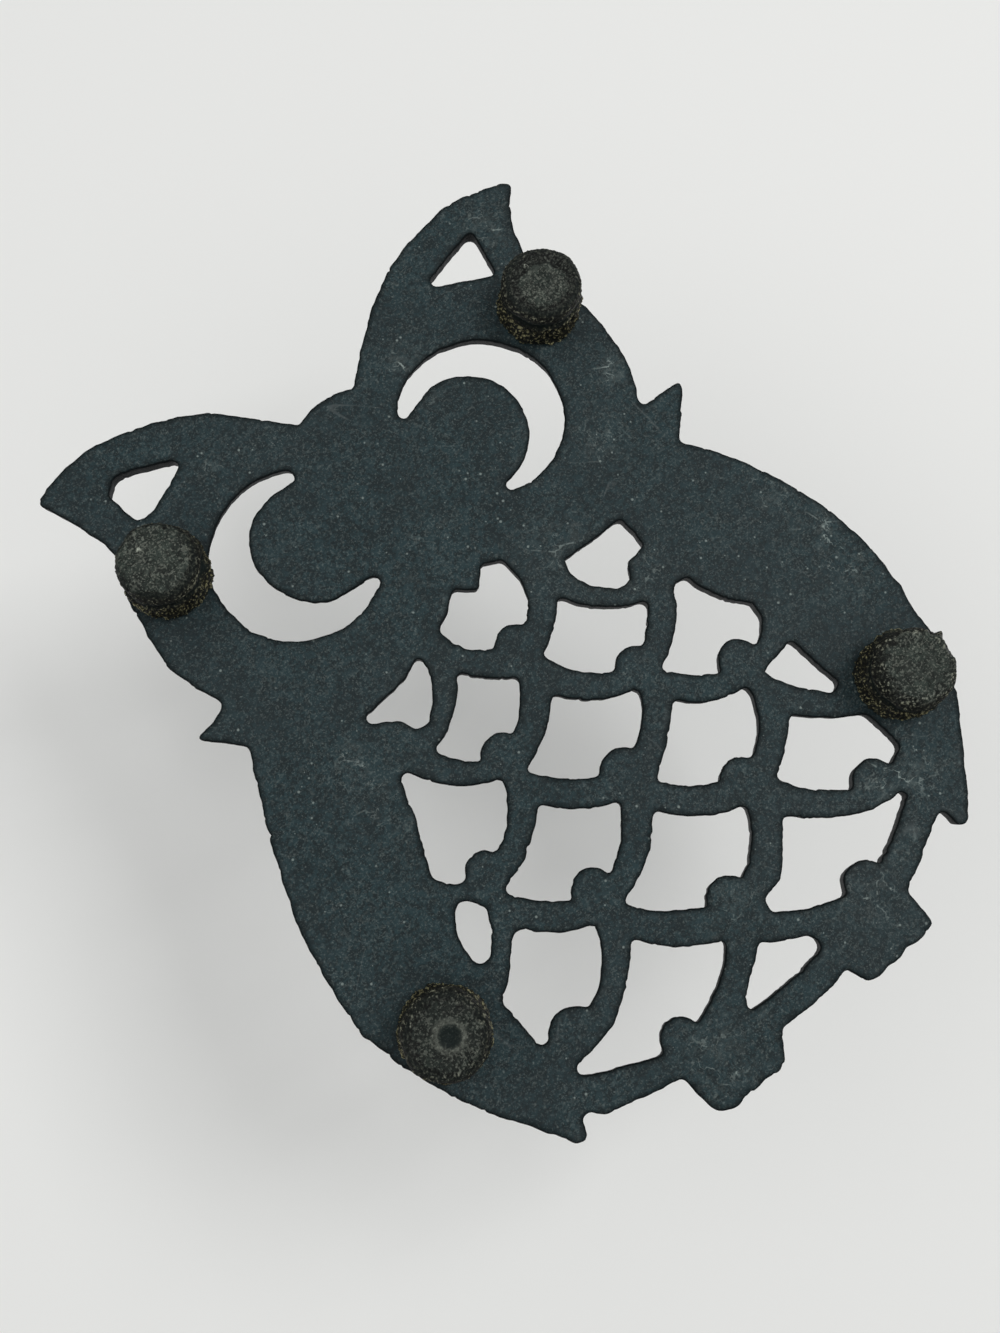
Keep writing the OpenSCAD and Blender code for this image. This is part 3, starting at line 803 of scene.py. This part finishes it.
class NodeDesk:
    """Adds nodes to one node tree and links them."""

    def __init__(self, tree):
        self.tree = tree

    def add(self, kind, feeds=None, **settings):
        """A new node of that kind, with its settings and what its sockets are fed."""
        node = self.tree.nodes.new(kind)
        for name, value in settings.items():
            setattr(node, name, value)
        for socket, value in (feeds or {}).items():
            self.feed(node, socket, value)
        return node

    def feed(self, node, socket, value):
        if isinstance(value, bpy.types.NodeSocket):
            self.tree.links.new(value, node.inputs[socket])
        else:
            node.inputs[socket].default_value = value

    def maths(self, operation, a, b=0.0):
        return self.add("ShaderNodeMath", {0: a, 1: b}, operation=operation).outputs[0]

    def times(self, value, *others):
        for other in others:
            value = self.maths("MULTIPLY", value, other)
        return value

    def off_middle(self, value):
        """How far a noise is from its middle, 0.5."""
        return self.maths("ABSOLUTE", self.maths("SUBTRACT", value, 0.5))

    def noise(self, place, scale, detail=2.0, roughness=0.5):
        feeds = {"Vector": place, "Scale": scale, "Detail": detail, "Roughness": roughness}
        return self.add("ShaderNodeTexNoise", feeds).outputs["Fac"]

    def between(self, value, low, high, out_low=0.0, out_high=1.0):
        """The value's place between low and high, as a smooth S from out_low to out_high."""
        feeds = dict(zip(("Value", "From Min", "From Max", "To Min", "To Max"),
                         (value, low, high, out_low, out_high)))
        return self.add("ShaderNodeMapRange", feeds,
                        interpolation_type="SMOOTHSTEP").outputs["Result"]

    def mix(self, share, a, b):
        return self.add("ShaderNodeMix", {0: share, 6: a, 7: b}, data_type="RGBA").outputs[2]

    def group(self, name, place, **values):
        feeds = {"Vector": place, **values}
        return self.add("ShaderNodeGroup", feeds, node_tree=shared_group(name)).outputs[0]

    def attribute(self, name):
        return self.add("ShaderNodeAttribute", attribute_name=name).outputs["Fac"]


def grains_nodes(desk, place, scale, share, size):
    """Scattered pale grains: the small cells of a Voronoi pattern whose random value is under the
    share, cut to round spots of uneven size and brightness. A slow noise thins them out."""
    cells = desk.add("ShaderNodeTexVoronoi", {"Vector": place, "Scale": scale})
    parts = desk.add("ShaderNodeSeparateColor", {0: cells.outputs["Color"]}).outputs
    patches = desk.between(desk.noise(place, 90.0, 3.0), 0.3, 0.7, 0.4, 1.6)
    chosen = desk.maths("LESS_THAN", parts[0], desk.times(share, patches))
    reach = desk.times(size, desk.between(parts[1], 0.0, 1.0, 0.35, 1.0))
    spot = desk.between(cells.outputs["Distance"], desk.times(reach, 0.4), reach, 1.0, 0.0)
    return desk.times(chosen, spot, desk.between(parts[2], 0.0, 1.0, 0.2, 1.0))


def sand_nodes(desk, place, scale):
    """The height of a sand-cast skin, about 0 to 1: noises from fine sand up to soft dents."""
    total = desk.times(desk.noise(place, scale, 3.0, 0.75), 0.55)
    for share, weight in ((0.36, 0.30), (0.10, 0.15)):
        part = desk.noise(place, desk.times(scale, share), 2.0)
        total = desk.maths("ADD", total, desk.times(part, weight))
    return total


def specks_nodes(desk, place, scale, level):
    """Irregular specks: the tops of a fine noise, over a level that a slow noise moves."""
    slow = desk.between(desk.noise(place, 160.0, 3.0), 0.3, 0.7, 0.02, -0.02)
    level = desk.maths("ADD", level, slow)
    tops = desk.noise(place, scale, 1.0, 0.6)
    return desk.between(tops, level, desk.maths("ADD", level, 0.07))


def veins_nodes(desk, place, scale):
    """A web of thin lines: the borders of shaken Voronoi cells, broken up by noise."""
    shake = desk.noise(place, 420.0, 3.0, 0.6)
    moved = desk.add("ShaderNodeVectorMath", {0: shake, 1: (0.006, 0.006, 0.006), 2: place},
                     operation="MULTIPLY_ADD").outputs[0]
    cells = desk.add("ShaderNodeTexVoronoi", {"Vector": moved, "Scale": scale},
                     feature="DISTANCE_TO_EDGE")
    line = desk.between(cells.outputs["Distance"], 0.008, 0.035, 1.0, 0.0)
    return desk.times(line, desk.between(desk.noise(place, 700.0, 2.0), 0.44, 0.58))


def scratches_nodes(desk, place, scale, turn):
    """Fine scratches: thin lines where a stretched noise crosses its middle, kept only in the
    small patches where another noise is high."""
    turned = desk.add("ShaderNodeVectorRotate", {"Vector": place, "Angle": turn},
                      rotation_type="Z_AXIS").outputs[0]
    drawn = desk.add("ShaderNodeVectorMath", {0: turned, 1: (1.0, 0.14, 1.0)},
                     operation="MULTIPLY").outputs[0]
    near = desk.off_middle(desk.noise(drawn, scale, 1.0))
    thin = desk.between(near, 0.0008, 0.004, 1.0, 0.0)
    return desk.times(thin, desk.between(desk.noise(turned, 130.0, 2.0), 0.60, 0.70))


GROUPS = {
    "Grains": (grains_nodes, ("Scale", "Share", "Size")),
    "Sand": (sand_nodes, ("Scale",)),
    "Specks": (specks_nodes, ("Scale", "Level")),
    "Veins": (veins_nodes, ("Scale",)),
    "Scratches": (scratches_nodes, ("Scale", "Turn")),
}


def shared_group(name):
    """A shared node group with one output, made when it is first asked for."""
    tree = bpy.data.node_groups.get(name)
    if tree:
        return tree
    nodes, inputs = GROUPS[name]
    tree = bpy.data.node_groups.new(name, "ShaderNodeTree")
    tree.interface.new_socket("Vector", in_out="INPUT", socket_type="NodeSocketVector")
    for label in inputs:
        tree.interface.new_socket(label, in_out="INPUT", socket_type="NodeSocketFloat")
    tree.interface.new_socket("Value", in_out="OUTPUT", socket_type="NodeSocketFloat")
    desk = NodeDesk(tree)
    given = desk.add("NodeGroupInput").outputs
    desk.add("NodeGroupOutput", {0: nodes(desk, *(given[label] for label in ("Vector", *inputs)))})
    return tree


def new_material(name):
    """A material with a Principled shader and an output, and its desk and object coordinates."""
    material = bpy.data.materials.new(name)
    material.use_nodes = True
    material.node_tree.nodes.clear()
    desk = NodeDesk(material.node_tree)
    shader = desk.add("ShaderNodeBsdfPrincipled")
    desk.add("ShaderNodeOutputMaterial", {"Surface": shader.outputs[0]})
    return material, desk, shader, desk.add("ShaderNodeTexCoord").outputs["Object"]


def tone(value, share=1.0):
    """A colour property with full alpha, scaled in brightness."""
    return (*(share * part for part in value), 1.0)


def bump(desk, shader, height, distance, strength):
    """Feeds a height to the shader's normal, with the distance in metres that 1 stands for."""
    node = desk.add("ShaderNodeBump",
                    {"Height": height, "Distance": distance, "Strength": strength})
    desk.feed(shader, "Normal", node.outputs[0])


def speckled(desk, place, look, paint, rows, *masks):
    """The look with specks of the paint, in rows of scale, level and strength, held by masks."""
    for scale, level, strength in rows:
        specks = desk.group("Specks", place, Scale=scale, Level=level)
        look = desk.mix(desk.times(specks, *masks, strength), look, paint)
    return look


def iron_skin(settings, desk, place, sand, cloud):
    """Dark cast skin, cloudy and darker along fine creases, with painted shade in the dents of its
    sandy grain.
    """
    skin = settings.skin
    look = desk.mix(desk.between(cloud, 0.35, 0.68), tone(skin, 0.92), tone(skin, 1.20))
    # Painted shade in the dents of the sand
    look = desk.mix(desk.between(sand, 0.43, 0.57), tone(skin, 0.50), look)
    crease = desk.off_middle(desk.noise(place, 620.0, 4.0, 0.6))
    crease = desk.between(crease, 0.0, 0.022, 0.5, 0.0)
    return desk.mix(crease, look, tone(skin, 0.3))


def iron_dust(settings, desk, place, look):
    """Pale specks of three sizes all over, and patches and thin lines of dust on dusty marks."""
    dust = settings.dust
    look = speckled(desk, place, look, tone(dust, 1.1),
                    ((1500.0, 0.60, 0.08), (2600.0, 0.58, 0.11), (3600.0, 0.61, 0.20)))
    patchy = desk.between(desk.noise(place, 520.0, 4.0, 0.75), 0.44, 0.66)
    stray = desk.between(desk.noise(place, 60.0, 5.0, 0.68), 0.60, 0.80)
    dusty = desk.maths("ADD", desk.attribute("dusty"), stray)
    look = desk.mix(desk.times(dusty, patchy, 0.24), look, tone(dust))
    veins = desk.times(desk.group("Veins", place, Scale=220.0), dusty, 0.9)
    return desk.mix(veins, look, tone(dust, 1.4))


def iron_wear(settings, desk, place, look):
    """Faint scratches that run three ways, bright grains, and edges rubbed a little lighter, which
    is partly a painted highlight along the rims.
    """
    for turn, scale in ((0.5, 95.0), (2.2, 120.0), (3.9, 80.0)):
        mark = desk.group("Scratches", place, Scale=scale, Turn=turn)
        look = desk.mix(desk.times(mark, 0.35), look, tone(settings.bare_and_highlight))
    grains = desk.group("Grains", place, Scale=1300.0, Share=0.16, Size=0.36)
    look = desk.mix(desk.times(grains, 0.65), look, tone(settings.dust, 1.3))
    # Rims rubbed lighter, which is partly a painted highlight
    rub_and_highlight = desk.times(desk.between(desk.attribute("edge"), 0.4, 1.0, 1.0, 0.0),
                     desk.between(desk.noise(place, 300.0, 3.0, 0.7), 0.50, 0.72, 0.0, 0.16))
    return desk.mix(rub_and_highlight, look, tone(settings.bare_and_highlight))


def iron_material(settings):
    """The cast skin with its dust and wear. Painted shade darkens the walls and the grooves of the
    front. The tops of the relief are worn a little lighter, which is partly a painted highlight."""
    material, desk, shader, place = new_material("cast_iron_skin")
    sand = desk.group("Sand", place, Scale=1700.0)
    cloud = desk.noise(place, 40.0, 4.0, 0.6)
    look = iron_skin(settings, desk, place, sand, cloud)
    look = iron_dust(settings, desk, place, look)
    look = iron_wear(settings, desk, place, look)
    wall, raised = desk.attribute("wall"), desk.attribute("raised")
    # Painted shade darkens the walls of the openings
    look = desk.mix(desk.times(wall, 0.92), look, tone(settings.skin, 0.08))
    # Painted shade darkens the grooves of the front
    look = desk.mix(desk.between(raised, -0.8, 0.0, 0.7, 0.0), look, tone(settings.skin, 0.3))
    # The tops of the relief are worn lighter, which is partly a painted highlight
    worn_and_lit = desk.times(desk.between(raised, 0.3, 1.0), desk.between(sand, 0.42, 0.58, 0.08, 0.34))
    look = desk.mix(worn_and_lit, look, tone(settings.bare_and_highlight))
    desk.feed(shader, "Base Color", look)
    desk.feed(shader, "Roughness", desk.between(cloud, 0.3, 0.7, 0.54, 0.66))
    desk.feed(shader, "Specular IOR Level", desk.between(wall, 0.0, 1.0, 0.28, 0.10))
    bump(desk, shader, sand, 0.00045, 0.9)
    return material


def rubber_skin(settings, desk, place, sand, cloud, marks):
    """Grey worn rubber on black, partly painted light on the flat end, brown grime on the skirt,
    painted shade in the dents of the sand and in the pits between the crumbs, and a pale ring.
    """
    rubber = settings.rubber
    # Lit and shaded copies of the rubber: the worn patch is lighter, partly as painted light on the
    # flat end
    grey = desk.times(marks["worn_and_lit"], desk.between(cloud, 0.34, 0.60, 0.3, 1.0))
    look = desk.mix(grey, tone(rubber, 0.5), tone(rubber, 2.3))
    brown = desk.between(desk.noise(place, 420.0, 4.0, 0.7), 0.30, 0.58)
    look = desk.mix(desk.times(marks["grime"], brown), look, tone(settings.grime))
    # Painted shade in the dents of the sand
    look = desk.mix(desk.between(sand, 0.42, 0.56, 0.7, 0.0), look, tone(rubber, 0.2))
    rough = desk.between(marks["worn_and_lit"], 0.0, 0.5, 1.0, 0.0)
    # Painted shade in the pits between the crumbs, less where the end is worn
    pit_shade = desk.times(desk.between(marks["crumb"], -1.0, 0.6, 1.0, 0.0),
                      desk.maths("ADD", 0.18, desk.times(rough, 0.67)))
    look = desk.mix(pit_shade, look, tone(rubber, 0.08))
    ring = desk.times(marks["pale"], desk.between(sand, 0.40, 0.56, 0.12, 0.40))
    return desk.mix(ring, look, tone(settings.ash, 0.75))


def rubber_specks(settings, desk, place, look, marks):
    """Coarse specks on the tops of the crumbs, yellowish where there is grime and ash grey
    elsewhere, which are crumbs and partly painted glints, and fine ash grey ones on what is worn."""
    # Most coarse specks on the crown and on the grime, partly as painted glints
    most = desk.maths("MAXIMUM", marks["crown"], desk.times(marks["grime"], 0.75))
    tops = desk.times(desk.between(marks["crumb"], -0.3, 1.2),
                      desk.maths("ADD", 0.07, desk.times(most, 0.88)))
    crumbs = desk.mix(marks["grime"], tone(settings.ash), tone(settings.grit))
    look = speckled(desk, place, look, crumbs, ((1700.0, 0.54, 0.75), (2900.0, 0.55, 0.95)), tops)
    dust = desk.maths(
        "SUBTRACT", desk.between(marks["worn_and_lit"], 0.0, 0.8, 0.45, 1.0), marks["grime"])
    return speckled(desk, place, look, tone(settings.ash),
                    ((2000.0, 0.585, 0.27), (3300.0, 0.575, 0.32)), dust)


def rubber_material(settings):
    """Dusty perished rubber, with painted deep shade in the dimple and the groove, and pale chips.
    """
    material, desk, shader, place = new_material("perished_rubber")
    marks = {name: desk.attribute(name)
             for name in ("grime", "pale", "shade", "crumb", "worn_and_lit", "chip", "crown")}
    sand = desk.group("Sand", place, Scale=2200.0)
    cloud = desk.noise(place, 300.0, 4.0, 0.65)
    look = rubber_skin(settings, desk, place, sand, cloud, marks)
    look = rubber_specks(settings, desk, place, look, marks)
    # Painted shade in the dimple, on the shoulder, round the groove and on the skirt
    look = desk.mix(desk.times(marks["shade"], 0.85), look, tone(settings.deep))
    flaked = desk.times(marks["chip"], desk.between(sand, 0.44, 0.54, 0.0, 0.85))
    desk.feed(shader, "Base Color", desk.mix(flaked, look, tone(settings.ash, 1.9)))
    desk.feed(shader, "Roughness", desk.between(cloud, 0.3, 0.7, 0.7, 0.9))
    desk.feed(shader, "Specular IOR Level", 0.25)
    bump(desk, shader, sand, 0.0005, 1.0)
    return material


def ground_material(settings):
    """A plain ground that only the camera sees, and only from its front. It lets all other rays
    through, so it neither shades nor lights the trivet."""
    material, desk, shader, _ = new_material("plain_ground")
    desk.feed(shader, "Base Color", tone(settings.ground))
    desk.feed(shader, "Roughness", 0.9)
    desk.feed(shader, "Specular IOR Level", 0.0)
    back = desk.add("ShaderNodeNewGeometry").outputs["Backfacing"]
    seen = desk.times(desk.add("ShaderNodeLightPath").outputs["Is Camera Ray"],
                      desk.maths("SUBTRACT", 1.0, back))
    clear = desk.add("ShaderNodeBsdfTransparent").outputs[0]
    mixer = desk.add("ShaderNodeMixShader", {0: seen, 1: clear, 2: shader.outputs[0]})
    desk.feed(material.node_tree.nodes["Material Output"], "Surface", mixer.outputs[0])
    return material


def ground_plane(name, height, way, material):
    """A large square at that height that faces up if way is 1, or down if it is -1."""
    corners = [(GROUND_HALF * x, GROUND_HALF * y * way, height)
               for x, y in ((-1, -1), (1, -1), (1, 1), (-1, 1))]
    mesh = bpy.data.meshes.new(name)
    mesh.from_pydata(corners, [], [(0, 1, 2, 3)])
    mesh.materials.append(material)
    plane = bpy.data.objects.new(name, mesh)
    bpy.context.scene.collection.objects.link(plane)


def room_world(strength):
    """Even light from above and below that fades to the horizon, so that the walls of openings
    stay dark: its strength follows the absolute value of the direction's Z. The camera itself
    sees it as a plain pale backdrop."""
    world = bpy.data.worlds.new("soft_room")
    world.use_nodes = True
    desk = NodeDesk(world.node_tree)
    ways = desk.add("ShaderNodeSeparateXYZ",
                    {0: desk.add("ShaderNodeTexCoord").outputs["Generated"]})
    rise = desk.maths("ABSOLUTE", ways.outputs["Z"])
    light = desk.between(rise, 0.0, 0.9, *(share * strength for share in ROOM_SHARES))
    seen = desk.add("ShaderNodeLightPath").outputs["Is Camera Ray"]
    others = desk.times(desk.maths("SUBTRACT", 1.0, seen), light)
    background = world.node_tree.nodes["Background"]
    desk.feed(background, "Color", (1.0, 1.0, 1.0, 1.0))
    desk.feed(background, "Strength", desk.maths("ADD", desk.times(seen, BACKDROP), others))
    return world


def area_lamp(name, place, power, size):
    """A square soft lamp that points at the middle of the trivet."""
    light = bpy.data.lights.new(name, "AREA")
    light.energy = power
    light.size = size
    lamp = bpy.data.objects.new(name, light)
    lamp.location = place
    lamp.rotation_euler = (-Vector(place)).to_track_quat("-Z", "Y").to_euler()
    bpy.context.scene.collection.objects.link(lamp)


def aimed_camera(settings):
    """The camera at its place, turned to its aim."""
    camera = bpy.data.objects.new("camera", bpy.data.cameras.new("camera"))
    camera.data.lens = settings.camera_lens
    camera.data.clip_start = 0.005
    ahead = (Vector(settings.camera_aim) - Vector(settings.camera_place)).normalized()
    right = ahead.cross(Vector(settings.camera_up)).normalized()
    turn = Matrix((right, right.cross(ahead), -ahead)).transposed().to_4x4()
    camera.matrix_world = Matrix.Translation(settings.camera_place) @ turn
    bpy.context.scene.collection.objects.link(camera)
    return camera


class TRIVET_OT_stage(bpy.types.Operator):
    """Makes the plain ground, the soft light and the camera"""
    bl_idname = "trivet.stage"
    bl_label = "Stage"

    def execute(self, context):
        settings = context.scene.trivet_stage
        scene = context.scene
        scene.view_settings.view_transform = "Standard"
        material = ground_material(settings)
        ground_plane("ground_over", CAD_HIGH.z + settings.ground_gap, -1, material)
        ground_plane("ground_under", CAD_LOW.z, 1, material)
        scene.world = room_world(settings.room)
        for name, (place, share, size) in LAMPS.items():
            area_lamp(name, place, share * settings.key, size)
        scene.camera = aimed_camera(settings)
        return {"FINISHED"}


class TRIVET_OT_casting(bpy.types.Operator):
    """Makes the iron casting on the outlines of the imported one"""
    bl_idname = "trivet.casting"
    bl_label = "Casting"

    def execute(self, context):
        settings = context.scene.trivet_casting
        points, faces, marks = cast_plate(settings)
        mesh_piece("iron_owl", points, faces, CASTING, iron_material(settings), marks)
        return {"FINISHED"}


class TRIVET_OT_caps(bpy.types.Operator):
    """Makes the four rubber caps, each worn and torn in its own way"""
    bl_idname = "trivet.caps"
    bl_label = "Rubber caps"

    def execute(self, context):
        settings = context.scene.trivet_caps
        material = rubber_material(settings)
        for node in CAPS:
            points, faces, marks = rubber_cap(settings, node)
            mesh_piece(node.replace("foot_cap", "rubber_cap"), points, faces, node,
                       material, marks)
        return {"FINISHED"}


class TRIVET_PT_panel(bpy.types.Panel):
    """Lists the steps that finish the trivet"""
    bl_idname = "TRIVET_PT_panel"
    bl_label = "Owl trivet"
    bl_space_type = "VIEW_3D"
    bl_region_type = "UI"
    bl_category = "Trivet"

    def draw(self, context):
        for step in STEPS:
            self.layout.operator(step.bl_idname)
        for name in SETTINGS:
            group = getattr(context.scene, name)
            box = self.layout.box()
            for size in group.__annotations__:
                box.prop(group, size)


STEPS = (TRIVET_OT_stage, TRIVET_OT_casting, TRIVET_OT_caps)
SETTINGS = {"trivet_casting": CastingSettings, "trivet_caps": CapSettings,
            "trivet_stage": StageSettings}
CLASSES = (*SETTINGS.values(), *STEPS, TRIVET_PT_panel)


def register():
    for cls in CLASSES:
        bpy.utils.register_class(cls)
    for name, cls in SETTINGS.items():
        setattr(bpy.types.Scene, name, bpy.props.PointerProperty(type=cls))


def unregister():
    for name in SETTINGS:
        delattr(bpy.types.Scene, name)
    for cls in reversed(CLASSES):
        bpy.utils.unregister_class(cls)


def main():
    register()
    bpy.ops.trivet.stage()
    bpy.ops.trivet.casting()
    bpy.ops.trivet.caps()


if __name__ == "__main__":
    main()
